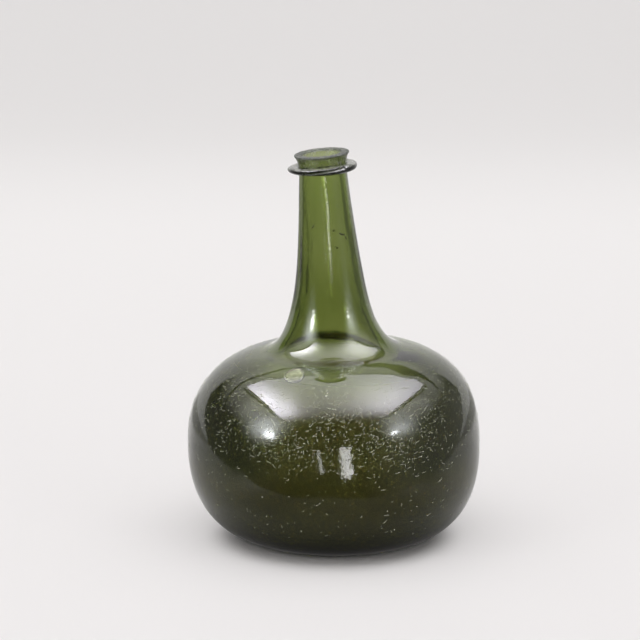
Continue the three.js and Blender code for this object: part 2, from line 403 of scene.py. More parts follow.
def blend_colours(factor, low, high):
    """Low colour to high colour as the factor goes from 0 to 1."""
    low, high = (end if isinstance(end, Value) else (*end[:3], 1) for end in (low, high))
    return result(factor.socket.id_data, "ShaderNodeMix", {0: factor, 6: low, 7: high},
                  output=2, data_type="RGBA")


def ramp(value, low, high, start=0.0, end=1.0):
    """A smooth step from start to end while the value goes from low to high."""
    return result(value.socket.id_data, "ShaderNodeMapRange",
                  {0: value, 1: low, 2: high, 3: start, 4: end}, interpolation_type="SMOOTHSTEP")


def axes(tree, vector):
    """The X, Y and Z of a vector."""
    return [Value(socket) for socket in add(tree, "ShaderNodeSeparateXYZ", {0: vector}).outputs]


def clouds(tree, point, scale, detail, roughness=0.5):
    """Cloudy noise at a point, with so many clouds in a metre."""
    return result(tree, "ShaderNodeTexNoise", {
        "Vector": point, "Scale": scale, "Detail": detail, "Roughness": roughness})


def new_material(name):
    """An empty node material and its tree."""
    material = bpy.data.materials.new(name)
    material.use_nodes = True
    material.node_tree.nodes.clear()
    return material, material.node_tree


def place(tree):
    """The surface point in the piece's own coordinates, and its X, Y and Z."""
    point = result(tree, "ShaderNodeTexCoord", output="Object")
    return (point, *axes(tree, point))


def mark(tree, name):
    """A mark that is stored on the piece's points."""
    return result(tree, "ShaderNodeAttribute", output="Fac", attribute_name=name)


def light_path(tree, name):
    """What is known of the ray that sees this point."""
    return result(tree, "ShaderNodeLightPath", output=name)


def in_mirror(tree):
    """1 for a ray that has been mirrored somewhere on its way, 0 for the others."""
    return maths("GREATER_THAN", light_path(tree, "Glossy Depth"), 0.5)


def bump(height, depth, strength):
    """The surface's normal, bent by fine relief."""
    return result(height.socket.id_data, "ShaderNodeBump", {
        "Height": height, "Distance": depth, "Strength": strength})


def surface(tree, colour, roughness, inputs):
    return result(tree, "ShaderNodeBsdfPrincipled", {"Base Color": colour, "Roughness": roughness, **inputs})


def mix_shaders(share, first, second):
    return result(share.socket.id_data, "ShaderNodeMixShader", {0: share, 1: first, 2: second})


def finish_material(tree, shader, volume=None):
    output = add(tree, "ShaderNodeOutputMaterial", {"Surface": shader})
    if volume is not None:
        feed(output.inputs["Volume"], volume)


# Materials

def coloured_glass(tree, finish, colour, roughness, relief, clear, depth=1.0):
    """Ends a material as glass that darkens with its thickness; depth multiplies that darkening."""
    shader = surface(tree, colour, roughness, {
        "Normal": relief, "IOR": GLASS_IOR, "Transmission Weight": clear})
    volume = result(tree, "ShaderNodeVolumeAbsorption", {
        "Color": (*finish.glass_tint, 1), "Density": finish.glass_depth * depth})
    finish_material(tree, shader, volume)


def bottle_glass(finish):
    """Olive glass: cords in the neck, fine wear at the belly, rough lip, brown film inside, painted shade
    inside the belly's sides.
    """
    material, tree = new_material("bottle_glass")
    point, side, _, level = place(tree)
    inside, sheared, void = (mark(tree, name) for name in ("inside", "sheared", "void"))
    outside = 1.0 - inside
    wide = clouds(tree, point, 28.0, 3.0)
    specks = clouds(tree, point, 420.0, 3.0)
    fine = clouds(tree, point, 900.0, 2.0)
    drawn = result(tree, "ShaderNodeMapping", {"Vector": point, "Scale": (1.0, 1.0, CORD_STRETCH)})
    cords = clouds(tree, drawn, 520.0, 3.0)

    # Where each coat lies: film low inside, a pale one in the mouth, haze in the belly, painted shade inside
    # the belly's sides
    uneven = wide.scaled(0.4, 0.8).clamped()
    film = (ramp(level, *FILM_LEVELS) * uneven * inside).clamped()
    lip_film = ramp(level, *MOUTH_FILM_LEVELS) * ramp(specks, 0.35, 0.65, 0.15, 0.55)
    lip_film = (lip_film * inside).clamped()
    haze = ramp(level, *HAZE_LEVELS) * inside
    # Painted shade: a dark colour and less clear glass inside both sides of the belly, between two levels
    side_shade_band = ramp(level, *SIDE_SHADE_LEVELS_ABOVE) * ramp(level, *SIDE_SHADE_LEVELS_BELOW)
    side_shade = (ramp(abs(side), *SIDE_SHADE_SIDES) * side_shade_band * uneven * inside).clamped()

    high = ramp(level, *TINT_LEVELS) * outside
    colour = blend_colours(high, (1.0, 1.0, 1.0), finish.neck_tint)
    colour = blend_colours(film, colour, finish.film_colour)
    colour = blend_colours(lip_film, colour, LIP_FILM_COLOUR)
    colour = blend_colours(side_shade, colour, finish.side_shade_colour)
    shear = blend_colours(ramp(fine, 0.40, 0.62), *SHEAR_COLOURS)
    colour = blend_colours(sheared, colour, shear)

    band = ramp(level, *WEAR_LEVELS_BELOW) * ramp(level, *WEAR_LEVELS_ABOVE)
    worn = band * outside * ramp(fine, 0.5, 0.8)
    ground = ramp(level, *GROUND_LEVELS) * outside
    roughness = blend_values(worn, 0.012, 0.05)
    roughness = blend_values(film, roughness, 0.22)
    for share, dullness in ((ground, 0.55), (sheared, 0.6), (void, 0.03), (haze, 0.30), (lip_film, 0.6)):
        roughness = highest(roughness, share * dullness)
    clear = lip_film.scaled(-0.5, film.scaled(-0.85, 1.0))
    clear = highest(sheared, side_shade).scaled(-0.4, clear).clamped()

    in_neck = ramp(level, *CORD_LEVELS) * outside
    drawn_out = fine.scaled(1.8, specks.scaled(4.0, cords))
    grain = drawn_out.scaled(in_neck, fine * highest(worn, sheared))
    coloured_glass(tree, finish, colour, roughness, bump(grain, 0.05 * MM, 0.3), clear)
    return material


def trail_glass(finish):
    """The wound trail: the same glass, darker, with a pale grey skin in patches on its upward faces, partly
    weathering and partly a painted highlight along its top.
    """
    material, tree = new_material("trail_glass")
    point, *_ = place(tree)
    wide = clouds(tree, point, 260.0, 4.0)
    fine = clouds(tree, point, 1100.0, 2.0)
    # Pale grey skin in patches, only on faces that look up: partly weathering, partly a painted highlight
    # along the trail's top
    dull = ramp(mark(tree, "upward"), 0.35, 0.9) * ramp(wide, 0.35, 0.6, 0.45, 0.8)
    colour = blend_colours(dull, (0.30, 0.32, 0.25), (0.46, 0.46, 0.43))
    roughness = blend_values(dull, 0.06, 0.3)
    coloured_glass(tree, finish, colour, roughness, bump(fine, 0.05 * MM, 0.22), dull.scaled(-0.75, 0.97),
                   depth=2.2)
    return material


def scar_glass(finish):
    """The broken pontil ring: rough, pale at its chipped crests."""
    material, tree = new_material("scar_glass")
    point, *_ = place(tree)
    chips = result(tree, "ShaderNodeTexVoronoi", {"Vector": point, "Scale": 700.0}, output="Distance")
    grain = clouds(tree, point, 1800.0, 3.0)
    broken = ramp(chips, 0.1, 0.6)
    colour = blend_colours(broken, (0.46, 0.50, 0.30), (0.72, 0.74, 0.62))
    roughness = blend_values(broken, 0.35, 0.7)
    coloured_glass(tree, finish, colour, roughness, bump(grain, 0.1 * MM, 0.5), 0.6)
    return material


def mark_material(name, scale, detail, colours, roughness, inputs, side_shade_colours=None):
    """A mark in or on the glass, with patches of two colours, and, if given, two others at the bottle's
    sides that paint shade there.
    """
    material, tree = new_material(name)
    point, side, *_ = place(tree)
    patch = clouds(tree, point, scale, detail)
    colour = blend_colours(patch, *colours)
    # Towards the bottle's sides the patches turn to the other two colours, as painted shade
    if side_shade_colours:
        aside = ramp(abs(side), 24 * MM, 54 * MM)
        colour = blend_colours(aside, colour, blend_colours(patch, *side_shade_colours))
    finish_material(tree, surface(tree, colour, roughness, inputs))
    return material


def scuff_glass():
    """Crushed glass in a scratch: pale, dull and uneven, with its strength changing from mark to mark, and
    darker towards the bottle's sides as painted shade.
    """
    # The last two colours are darker: painted shade on the scuffs at the bottle's sides
    return mark_material(
        "scuff_glass", 400.0, 2.0, ((0.45, 0.46, 0.33), (1.0, 1.0, 0.86)), 0.6,
        {"IOR": 1.5, "Transmission Weight": 0.1}, ((0.30, 0.31, 0.22), (0.88, 0.88, 0.72)))


def stone_matter():
    """An unmelted stone or a dark thread in the glass."""
    return mark_material(
        "stone_matter", 1500.0, 1.0, ((0.015, 0.016, 0.008), (0.07, 0.07, 0.035)), 0.5, {})


def seed_glass():
    """A gas seed in the wall, which scatters a little light."""
    return mark_material(
        "seed_glass", 900.0, 1.0, ((0.42, 0.45, 0.26), (0.90, 0.92, 0.74)), 0.25,
        {"IOR": 1.3, "Transmission Weight": 0.4})


# Shapes

def follow(rows, column, levels):
    """One column's value at each level, on a smooth curve through the rows."""
    at = np.array([row[0] for row in rows], float)
    value = np.array([row[column] for row in rows], float)
    slope = np.empty_like(value)
    slope[1:-1] = (value[2:] - value[:-2]) / (at[2:] - at[:-2])
    slope[0] = (value[1] - value[0]) / (at[1] - at[0])
    slope[-1] = (value[-1] - value[-2]) / (at[-1] - at[-2])
    index = np.clip(np.searchsorted(at, levels) - 1, 0, len(rows) - 2)
    span = at[index + 1] - at[index]
    t = np.clip((levels - at[index]) / span, 0, 1)
    ease = t * t * (3 - 2 * t)
    leave = span * slope[index] * t * (1 - t) ** 2
    arrive = span * slope[index + 1] * t * t * (t - 1)
    return value[index] + (value[index + 1] - value[index]) * ease + leave + arrive


def set_on_centre_line(points):
    """Moves points drawn about the Z axis onto the bottle's wandering centre line."""
    x, y, z = points[..., 0], points[..., 1], points[..., 2]
    shift = follow(CENTRE_LINE, 1, z)
    tilt = np.radians(follow(CENTRE_LINE, 2, z))
    dip = np.radians(follow(CENTRE_LINE, 3, z))
    rise = x * np.sin(tilt) + y * np.sin(dip)
    return np.stack([shift + x * np.cos(tilt), y * np.cos(dip), z + rise], -1)


def quarter(core, radius, rise, fullness, angle):
    """Points of a rounded quarter, from the widest ring at angle 0 towards its crest."""
    across = core + (radius - core) * np.cos(angle) ** (2 / fullness)
    up = BELLY_LEVEL + rise * np.sin(angle) ** (2 / fullness)
    return np.stack([across, up], -1)


def bezier(corners, count):
    """Points along a Bezier curve of three or four corners."""
    t = np.linspace(0, 1, count)[:, None]
    corners = [np.array(corner, float) for corner in corners]
    while len(corners) > 1:
        corners = [a + (b - a) * t for a, b in zip(corners, corners[1:])]
    return corners[0]


def resample(points, weights, count):
    """Points spread along a line of radius and level, closer where the weight is higher."""
    steps = np.linalg.norm(np.diff(points[:, :2], axis=0), axis=1) * (weights[1:] + weights[:-1]) / 2
    along = np.concatenate([[0], np.cumsum(steps)])
    wanted = np.linspace(0, along[-1], count)
    return np.stack([np.interp(wanted, along, points[:, k]) for k in range(points.shape[1])], -1)


HEEL_SWEEP = math.asin((BELLY_LEVEL / HEEL_DROP) ** (HEEL_FULLNESS / 2))
STAND_RADIUS = quarter(HEEL_CORE, BELLY_RADIUS, -HEEL_DROP, HEEL_FULLNESS, np.array([HEEL_SWEEP]))[0, 0]
TROUGH_RADIUS = STAND_RADIUS - STAND_WIDTH / 2


def kick_outline():
    """The underside of the kick, from the axis out to the standing ring."""
    edge = STAND_RADIUS - STAND_WIDTH
    return bezier([(0, KICK_HEIGHT), (KICK_CROWN, KICK_HEIGHT), (edge - KICK_FLARE, 0), (edge, 0)],
                  FINE_STEPS)


def upper_outline():
    """The outside from the belly's widest ring up to the string rim."""
    angles = np.linspace(0, SHOULDER_SWEEP, FINE_STEPS)
    shoulder = quarter(SHOULDER_CORE, BELLY_RADIUS, SHOULDER_RISE, SHOULDER_FULLNESS, angles)
    foot = shoulder[-1]
    heading = (shoulder[-1] - shoulder[-2]) / np.linalg.norm(shoulder[-1] - shoulder[-2])
    top = np.array([NECK_RADIUS, RIM_LEVEL])
    down = NECK_SWEEP * np.array([math.sin(NECK_TAPER), -math.cos(NECK_TAPER)])
    neck = bezier([foot, foot + heading * NECK_FOOT_SWEEP, top + down, top], FINE_STEPS)
    return np.concatenate([shoulder, neck[1:]])


def lower_outline():
    """The outside from the standing ring up to the belly's widest ring."""
    angles = np.linspace(HEEL_SWEEP, 0, FINE_STEPS)
    return quarter(HEEL_CORE, BELLY_RADIUS, -HEEL_DROP, HEEL_FULLNESS, angles)


def outer_outline():
    """The outside from the standing ring up to the string rim."""
    return np.concatenate([lower_outline(), upper_outline()[1:]])


def lip_outline():
    """The flared lip, from the string rim over the flat top and into the mouth."""
    foot = np.array([NECK_RADIUS, RIM_LEVEL + RIM_THICKNESS / 2])
    edge = np.array([LIP_RADIUS, LIP_LEVEL - LIP_EDGE])
    bend = np.array([NECK_RADIUS + 0.3 * (LIP_RADIUS - NECK_RADIUS), (foot[1] + edge[1]) / 2])
    flare = bezier([foot, bend, edge], FINE_STEPS // 4)
    top = [(LIP_RADIUS - LIP_EDGE, LIP_TOP), (MOUTH_RADIUS + LIP_EDGE, LIP_TOP),
           (MOUTH_RADIUS, LIP_LEVEL - LIP_EDGE)]
    return np.concatenate([flare, top])


def inner_outline(form):
    """The inside, from the mouth down to the axis."""
    walls = [
        (BELLY_LEVEL, form.belly_wall),
        (shoulder_level(0.8), form.shoulder_wall),
        (neck_level(0.25), form.neck_foot_wall),
        (neck_level(0.6), form.neck_wall),
        (RIM_LEVEL, NECK_RADIUS - BORE_RADIUS),
    ]
    outside = upper_outline()
    along = np.gradient(outside, axis=0)
    along[0] = (0, 1)
    along /= np.linalg.norm(along, axis=1, keepdims=True)
    wall = follow(walls, 1, outside[:, 1])
    inside = outside + np.stack([-along[:, 1], along[:, 0]], -1) * wall[:, None]
    heel = quarter(TROUGH_RADIUS, BELLY_RADIUS - form.belly_wall, STAND_WALL - BELLY_LEVEL, 2,
                   np.linspace(0, math.pi / 2, FINE_STEPS))
    top = KICK_HEIGHT + KICK_WALL
    floor = bezier([(TROUGH_RADIUS, STAND_WALL), (TROUGH_RADIUS - KICK_FLARE, STAND_WALL),
                    (KICK_CROWN, top), (0, top)], FINE_STEPS)
    return np.concatenate([inside[::-1], heel[1:], floor[1:]])


def vessel_outline(form):
    """Radius, level, insideness and shearedness along one closed wall, with soft corners."""
    outside = np.concatenate([kick_outline(), outer_outline(), lip_outline()])
    inside = inner_outline(form)
    line = np.concatenate([outside, inside])
    mark_inside = np.concatenate([np.zeros(len(outside)), np.ones(len(inside))])
    mark_inside[len(outside) - 1] = 1
    line = np.column_stack([line, mark_inside])
    spacing = 0.2 * MM
    along = np.linalg.norm(np.diff(line[:, :2], axis=0), axis=1).sum()
    line = resample(line, np.ones(len(line)), int(along / spacing))
    reach = int(3 * CORNER_ROUNDING / spacing)
    kernel = np.exp(-0.5 * (np.arange(-reach, reach + 1) * spacing / CORNER_ROUNDING) ** 2)
    kernel /= kernel.sum()
    ends = np.concatenate([2 * line[0] - line[reach:0:-1], line, 2 * line[-1] - line[-2:-reach - 2:-1]])
    soft = np.column_stack([np.convolve(ends[:, k], kernel, "valid") for k in range(3)])
    soft[[0, -1], 0] = 0
    top = (soft[:, 1] > LIP_LEVEL - SHEARED_HEIGHT).astype(float)
    close = 1 + 2.5 * np.exp(-((soft[:, 1] - LIP_LEVEL) / (5 * MM)) ** 2)
    return resample(np.column_stack([soft, top]), close, BODY_RINGS)


def waves(points, wavelength, seed, count=12):
    """Smooth unevenness over points, about -1 to 1."""
    random = np.random.default_rng(seed)
    total = np.zeros(points.shape[:-1])
    for _ in range(count):
        heading = random.normal(size=3)
        heading /= np.linalg.norm(heading)
        pitch = wavelength * random.uniform(0.7, 1.6)
        total += np.sin(2 * math.pi * (points @ heading) / pitch + random.uniform(0, 2 * math.pi))
    return total / math.sqrt(count)


def round_turn(count):
    """Angles once round, without the last, which is the first again."""
    return np.linspace(0, 2 * math.pi, count, endpoint=False)


def turned_grid(outline, sides):
    """An outline turned about the Z axis, as rings of points; bearing 0 is the front."""
    bearings = round_turn(sides)
    radius = outline[:, :1]
    x = radius * np.sin(bearings)
    y = -radius * np.cos(bearings)
    return np.stack([x, y, np.broadcast_to(outline[:, 1:2], x.shape)], -1)


def grid_normals(grid):
    """Outward normals of a turned grid."""
    around = np.roll(grid, -1, 1) - np.roll(grid, 1, 1)
    along = np.gradient(grid, axis=0)
    normals = np.cross(around, along)
    size = np.linalg.norm(normals, axis=-1, keepdims=True)
    return np.where(size > 1e-14, normals / np.maximum(size, 1e-14), 0)


def wrapped_faces(rings, sides, closed=False):
    """Quads between rings of points and, where closed, from the last ring back to the first."""
    faces = []
    for ring in range(rings if closed else rings - 1):
        above = (ring + 1) % rings
        for side in range(sides):
            beside = (side + 1) % sides
            faces.append((ring * sides + side, ring * sides + beside,
                          above * sides + beside, above * sides + side))
    return faces


def turned_faces(rings, sides):
    """Quads between the rings and fans at both poles, for points with one point at each pole."""
    def corner(ring, side):
        return 1 + (ring - 1) * sides + side % sides
    last = 1 + (rings - 2) * sides
    faces = [(0, corner(1, side + 1), corner(1, side)) for side in range(sides)]
    for ring in range(1, rings - 2):
        for side in range(sides):
            faces.append((corner(ring, side), corner(ring, side + 1),
                          corner(ring + 1, side + 1), corner(ring + 1, side)))
    faces += [(last, corner(rings - 2, side), corner(rings - 2, side + 1)) for side in range(sides)]
    return faces


def flat_rings(values):
    """Ring values as one list, with a single value for each pole."""
    return np.concatenate([values[0, :1], values[1:-1].reshape(-1, *values.shape[2:]), values[-1, :1]])


def new_piece(name, points, faces, material):
    """A smooth mesh object at the origin that rides on the frame."""
    mesh = bpy.data.meshes.new(name)
    mesh.from_pydata([tuple(point) for point in points], [], faces)
    mesh.shade_smooth()
    mesh.materials.append(material)
    piece = bpy.data.objects.new(name, mesh)
    bpy.context.scene.collection.objects.link(piece)
    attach(piece, "root")
    return piece


def set_attribute(mesh, name, values):
    layer = mesh.attributes.new(name, "FLOAT", "POINT")
    layer.data.foreach_set("value", np.asarray(values, np.float32))


def outer_spot(bearing, level, turn):
    """A point on the outside, its normal, and the two ways along the surface, turned from level.

    The bearing and the turn are in degrees, and the level is that of the form as drawn.
    """
    line = outer_outline()
    step = 0.2 * MM
    levels = np.array([level - step, level, level + step])
    radius = np.interp(levels, line[:, 1], line[:, 0])
    turns = math.radians(bearing) + np.array([-0.01, 0, 0.01])

    def at(index, angle):
        drawn = np.array([radius[index] * math.sin(angle), -radius[index] * math.cos(angle), levels[index]])
        return set_on_centre_line(drawn)
    point = at(1, turns[1])
    level_way = at(1, turns[2]) - at(1, turns[0])
    level_way /= np.linalg.norm(level_way)
    up_way = at(2, turns[1]) - at(0, turns[1])
    up_way -= level_way * (up_way @ level_way)
    up_way /= np.linalg.norm(up_way)
    turn = math.radians(turn)
    long_way = level_way * math.cos(turn) + up_way * math.sin(turn)
    short_way = up_way * math.cos(turn) - level_way * math.sin(turn)
    return point, np.cross(level_way, up_way), long_way, short_way


def blister(bearing, level, span, width, thickness, turn, edge_only, wall):
    """A flat void in the wall, or only its round edge: points and faces that look into the void."""
    point, normal, long_way, short_way = outer_spot(bearing, level, turn)
    middle = point - normal * wall * BLISTER_DEPTH
    sides = 32
    turns = round_turn(sides)
    spread = 1 + 0.05 * np.sin(3 * turns + level / MM)

    def laid(share, reach, height):
        return (middle + long_way * ((span / 2 * spread * share + reach) * np.cos(turns))[..., None]
                + short_way * ((width / 2 * spread * share + reach) * np.sin(turns))[..., None]
                + normal * (height * np.ones(sides))[..., None])
    if edge_only:
        rings = 10
        around = round_turn(rings)[:, None]
        points = laid(1, np.cos(around) * thickness / 2, np.sin(around) * thickness / 2).reshape(-1, 3)
        faces = wrapped_faces(rings, sides, closed=True)
    else:
        rings = 14
        polar = np.linspace(0, math.pi, rings)[:, None]
        points = flat_rings(laid(np.sin(polar) ** 0.45, 0, np.cos(polar) * thickness / 2))
        faces = turned_faces(rings, sides)
    return points, [face[::-1] for face in faces]


def body_points(form):
    """The vessel's wall as rings of points, with its marks."""
    outline = vessel_outline(form)
    drawn = turned_grid(outline, BODY_SIDES)
    inside = np.repeat(outline[:, 2:3], BODY_SIDES, 1)
    sheared = np.repeat(outline[:, 3:4], BODY_SIDES, 1)
    grid = set_on_centre_line(drawn)
    normals = grid_normals(grid)
    swells = 0.45 * waves(drawn, 26 * MM, 3) + 0.55 * waves(drawn, 11 * MM, 4)
    dip = form.ripple * (0.65 + 0.45 * np.tanh(swells))
    stretched = drawn * np.array([1, 1, 0.12])
    in_neck = np.clip((drawn[..., 2] - 95 * MM) / (20 * MM), 0, 1)
    cords = 0.5 * waves(stretched, 9 * MM, 6) + 0.45 * waves(stretched, 4.2 * MM, 7)
    stray = (1 - in_neck) * waves(drawn, 34 * MM, 5) + in_neck * cords
    chips = np.array([noise.turbulence(Vector(point) * 420, 3, False) for point in drawn.reshape(-1, 3)])
    chips = chips.reshape(sheared.shape)
    shift = -(1 - inside) * dip + inside * form.wander * 0.5 * stray
    shift -= sheared * form.lip_roughness * chips
    standing = np.clip(drawn[..., 2] / (3 * MM), 0, 1)
    on_axis = np.clip(np.hypot(drawn[..., 0], drawn[..., 1]) / (4 * MM), 0, 1)
    shift *= standing * on_axis
    return grid + normals * shift[..., None], inside, sheared


class BOTTLE_OT_body(bpy.types.Operator):
    """Blow the vessel: foot, belly, shoulder, neck and lip in one wall"""

    bl_idname = "bottle.body"
    bl_label = "Blow the body"

    def execute(self, context):
        form = context.scene.bottle_form
        grid, inside, sheared = body_points(form)
        points = [flat_rings(grid)]
        marks = [flat_rings(inside)]
        cuts = [flat_rings(sheared)]
        voids = [np.zeros(len(points[0]))]
        faces = turned_faces(BODY_RINGS, BODY_SIDES)
        offset = len(points[0])
        for sizes in BLISTERS:
            ball, ball_faces = blister(*sizes, form.shoulder_wall)
            faces += [tuple(corner + offset for corner in face) for face in ball_faces]
            points.append(ball)
            marks.append(np.zeros(len(ball)))
            cuts.append(np.zeros(len(ball)))
            voids.append(np.ones(len(ball)))
            offset += len(ball)
        material = bottle_glass(context.scene.bottle_finish)
        piece = new_piece("body", np.concatenate(points), faces, material)
        set_attribute(piece.data, "inside", np.concatenate(marks))
        set_attribute(piece.data, "sheared", np.concatenate(cuts))
        set_attribute(piece.data, "void", np.concatenate(voids))
        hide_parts("bottle_body")
        return {"FINISHED"}


# Geometry Nodes helpers

def new_tree(name, **sockets):
    """A geometry tree with a geometry socket each way and named inputs of the given kinds."""
    tree = bpy.data.node_groups.new(name, "GeometryNodeTree")
    sockets = {"Geometry": "Geometry", **sockets, "Material": "Material"}
    for socket_name, kind in sockets.items():
        tree.interface.new_socket(socket_name.replace("_", " "), in_out="INPUT",
                                  socket_type="NodeSocket" + kind)
    tree.interface.new_socket("Geometry", in_out="OUTPUT", socket_type="NodeSocketGeometry")
    return tree, tree.nodes.new("NodeGroupInput").outputs


def close_tree(tree, geometry, material):
    """Realizes instances, shades smooth, sets the material and ends the tree."""
    real = result(tree, "GeometryNodeRealizeInstances", {0: geometry})
    smooth = result(tree, "GeometryNodeSetShadeSmooth", {"Geometry": real})
    coated = result(tree, "GeometryNodeSetMaterial", {"Geometry": smooth, "Material": material})
    add(tree, "NodeGroupOutput", {0: coated})


def run_tree(name, mesh, tree, values):
    """Runs a tree on a mesh and keeps the result as a plain piece."""
    base = bpy.data.objects.new(name, mesh)
    bpy.context.scene.collection.objects.link(base)
    modifier = base.modifiers.new(tree.name, "NODES")
    modifier.node_group = tree
    for item in tree.interface.items_tree:
        if item.item_type == "SOCKET" and item.in_out == "INPUT" and item.name in values:
            modifier[item.identifier] = values[item.name]
    graph = bpy.context.evaluated_depsgraph_get()
    made = bpy.data.meshes.new_from_object(base.evaluated_get(graph), depsgraph=graph)
    base.modifiers.remove(modifier)
    base.data = made
    made.name = name
    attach(base, "root")
    return base


# String rim

def rim_path():
    """Centre points of the trail with its half depth and half height at each."""
    rows = []
    for turn in np.linspace(0, 2 * math.pi + RIM_LAP, RIM_POINTS):
        bearing = RIM_LAP_BEARING + turn
        swell = RIM_SWELL * (1 + math.cos(bearing - RIM_SWELL_BEARING)) / 2
        half = (RIM_THICKNESS + swell) / 2
        in_lap = (turn % (2 * math.pi)) / RIM_LAP
        slant = -half + RIM_TIP + (2 * half - 2 * RIM_TIP) * np.clip(in_lap, 0, 1) ** 0.55
        starts = turn <= RIM_LAP
        ends = turn >= 2 * math.pi
        top = slant if starts else half
        bottom = slant if ends else -half
        drawn = (1 - in_lap if starts else 0) + (in_lap if ends else 0)
        middle = (top + bottom) / 2
        waver = 0.12 * MM * math.sin(3.1 * bearing + 0.7) + 0.07 * MM * math.sin(7.3 * bearing)
        inner = NECK_RADIUS - middle * math.tan(NECK_TAPER) - RIM_SINK
        outer = RIM_HIGH_RADIUS - RIM_DRAWN_IN * max(drawn, 0) ** 2 - 0.1 * MM + waver
        radius = (outer + inner) / 2
        rows.append((radius * math.sin(bearing), -radius * math.cos(bearing), RIM_LEVEL + middle,
                     (outer - inner) / 2, (top - bottom) / 2))
    return np.array(rows)


def trail_tree():
    """Sweeps a rounded square section along a path, with its own depth and height at each point."""
    tree, given = new_tree("Wound trail", Sides="Int", Squareness="Float")
    unit = 1 * MM
    position = result(tree, "GeometryNodeInputPosition")
    curve = result(tree, "GeometryNodeMeshToCurve", {0: given["Geometry"]})
    kept = result(tree, "GeometryNodeStoreNamedAttribute", {
        "Geometry": curve, "Name": "centre", "Value": position}, data_type="FLOAT_VECTOR")
    upright = result(tree, "GeometryNodeSetCurveNormal", {0: kept}, mode="Z_UP")
    section = result(tree, "GeometryNodeCurvePrimitiveCircle", {
        "Resolution": given["Sides"], "Radius": unit})
    swept = result(tree, "GeometryNodeCurveToMesh", {0: upright, 1: section, "Fill Caps": True})

    def named(name, kind="FLOAT"):
        return result(tree, "GeometryNodeInputNamedAttribute", {"Name": name},
                      output="Attribute", data_type=kind)

    def vector(operation, first, second, output=0):
        return result(tree, "ShaderNodeVectorMath", {0: first, 1: second}, output, operation=operation)

    centre = named("centre", "FLOAT_VECTOR")
    offset = vector("SUBTRACT", position, centre)
    flat = vector("MULTIPLY", offset, (1, 1, 0))
    across = result(tree, "ShaderNodeVectorMath", {0: flat}, output="Value", operation="LENGTH")
    heading = result(tree, "ShaderNodeVectorMath", {0: flat}, operation="NORMALIZE")
    reach = (across / unit) ** given["Squareness"]
    up = axes(tree, offset)[2] / unit
    lift = abs(up) ** given["Squareness"] * maths("SIGN", up)
    moved = result(tree, "ShaderNodeVectorMath", {
        0: heading, "Scale": reach * named("depth")}, operation="SCALE")
    upward = result(tree, "ShaderNodeCombineXYZ", {2: lift * named("height")})
    target = vector("ADD", vector("ADD", centre, moved), upward)
    shaped = result(tree, "GeometryNodeSetPosition", {"Geometry": swept, "Position": target})
    close_tree(tree, shaped, given["Material"])
    return tree


class BOTTLE_OT_rim(bpy.types.Operator):
    """Wind the string rim: a trail of glass with lapped ends"""

    bl_idname = "bottle.rim"
    bl_label = "Wind the string rim"

    def execute(self, context):
        path = rim_path()
        mesh = bpy.data.meshes.new("string_rim_path")
        mesh.from_pydata([tuple(row[:3]) for row in path],
                         [(index, index + 1) for index in range(len(path) - 1)], [])
        set_attribute(mesh, "depth", path[:, 3])
        set_attribute(mesh, "height", path[:, 4])
        material = trail_glass(context.scene.bottle_finish)
        piece = run_tree("trail", mesh, trail_tree(), {
            "Sides": 28, "Squareness": 0.9, "Material": material})
        points = np.array([vertex.co for vertex in piece.data.vertices])
        points = set_on_centre_line(points)
        piece.data.vertices.foreach_set("co", points.astype(np.float32).ravel())
        piece.data.update()
        # How far each point faces up, from which the trail's glass paints a highlight on its top
        set_attribute(piece.data, "upward", [vertex.normal.z for vertex in piece.data.vertices])
        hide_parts("string_rim")
        return {"FINISHED"}


# Pontil scar

class BOTTLE_OT_scar(bpy.types.Operator):
    """Break off the pontil: a rough ring under the kick"""

    bl_idname = "bottle.scar"
    bl_label = "Break the pontil scar"

    def execute(self, context):
        sides, across = 180, 26
        kick = kick_outline()
        radii = np.linspace(SCAR_INNER_RADIUS, SCAR_OUTER_RADIUS, across)
        under = np.interp(radii, kick[:, 0], kick[:, 1])
        bearings = round_turn(sides)
        share = np.linspace(0, 1, across)
        crown = np.clip(np.minimum(share, 1 - share) * 5, 0, 1) ** 0.6
        seat = turned_grid(np.stack([radii, under - SCAR_GAP], -1), sides)
        rough = np.array([
            noise.turbulence(Vector(point) * 300 + Vector((3, 5, 7)), 4, True)
            for point in seat.reshape(-1, 3)]).reshape(across, sides)
        spread = 0.5 + 0.5 * np.sin(2 * bearings + 0.6) * np.sin(5 * bearings)
        broken = seat.copy()
        broken[..., 2] -= SCAR_THICKNESS * crown[:, None] * (0.35 + 0.45 * spread + 0.5 * rough)
        rings = np.concatenate([seat[::-1], broken[1:-1]])
        points = set_on_centre_line(rings).reshape(-1, 3)
        material = scar_glass(context.scene.bottle_finish)
        faces = wrapped_faces(len(rings), sides, closed=True)
        piece = new_piece("pontil_ring", points, faces, material)
        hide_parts("pontil_scar")
        return {"FINISHED"}


# Marks in and on the glass

def outer_band(name, low, high, rings, sides):
    """A sheet that follows the outside of the bottle between two levels."""
    line = outer_outline()
    line = line[(line[:, 1] > low) & (line[:, 1] < high)]
    outline = resample(line, np.ones(len(line)), rings)
    grid = set_on_centre_line(turned_grid(outline, sides))
    mesh = bpy.data.meshes.new(name)
    mesh.from_pydata([tuple(point) for point in grid.reshape(-1, 3)], [], wrapped_faces(rings, sides))
    mesh.shade_smooth()
    return mesh


def random_value(tree, low, high, seed, kind="FLOAT"):
    """A random number for each point, with a fixed seed."""
    first, second, output = RANDOM_SOCKETS[kind]
    return result(tree, "FunctionNodeRandomValue", {first: low, second: high, "Seed": seed},
                  output=output, data_type=kind)


